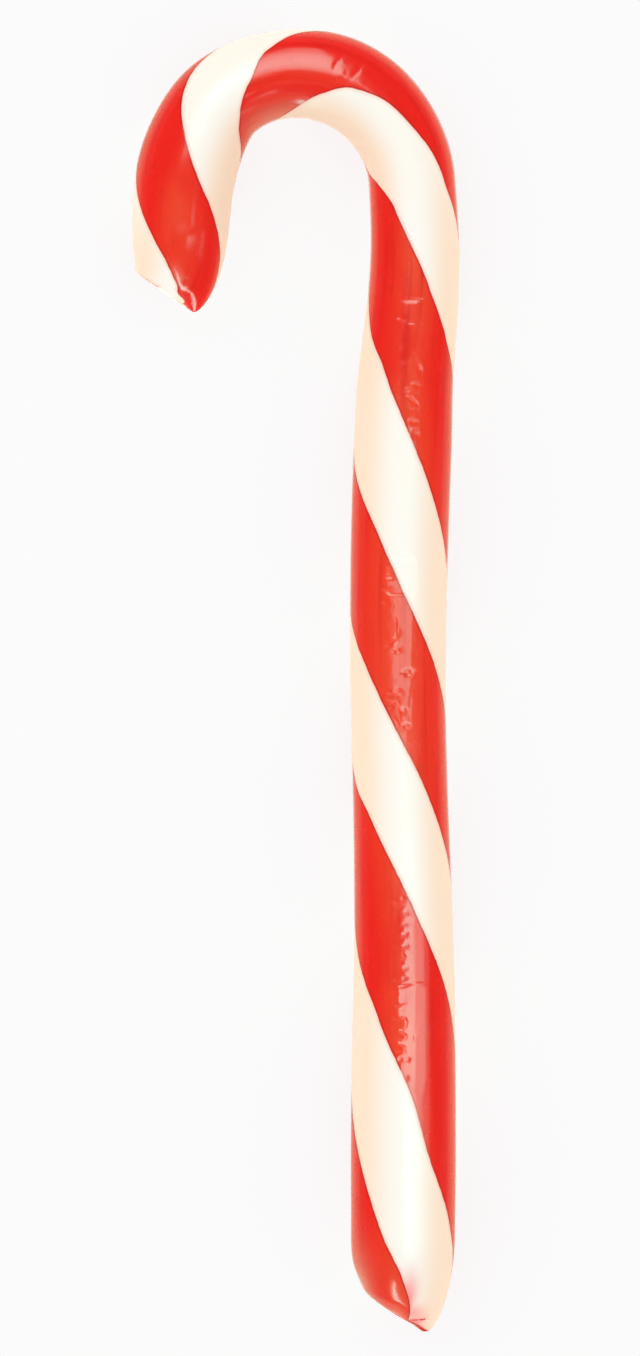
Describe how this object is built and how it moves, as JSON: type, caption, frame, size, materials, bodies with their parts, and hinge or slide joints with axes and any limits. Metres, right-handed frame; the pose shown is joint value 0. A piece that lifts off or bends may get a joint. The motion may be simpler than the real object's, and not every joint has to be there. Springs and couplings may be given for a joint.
{
  "type": "candy cane",
  "caption": "Crook-shaped stick of hard sugar, striped red and white in a helix, with both ends snipped to a blunt slanting edge.",
  "frame": {"origin": "on the surface the cane lies on, under the middle of its bounding box", "axes": "+Y up the stick towards the crook, -X the way the crook turns, +Z out of the shown side"},
  "size_m": [0.0384, 0.1524, 0.0122],
  "materials": {
    "sugar": "glossy hard sugar, red and white stripes"
  },
  "bodies": {
    "root": {"cane": "sugar"}
  },
  "joints": []
}
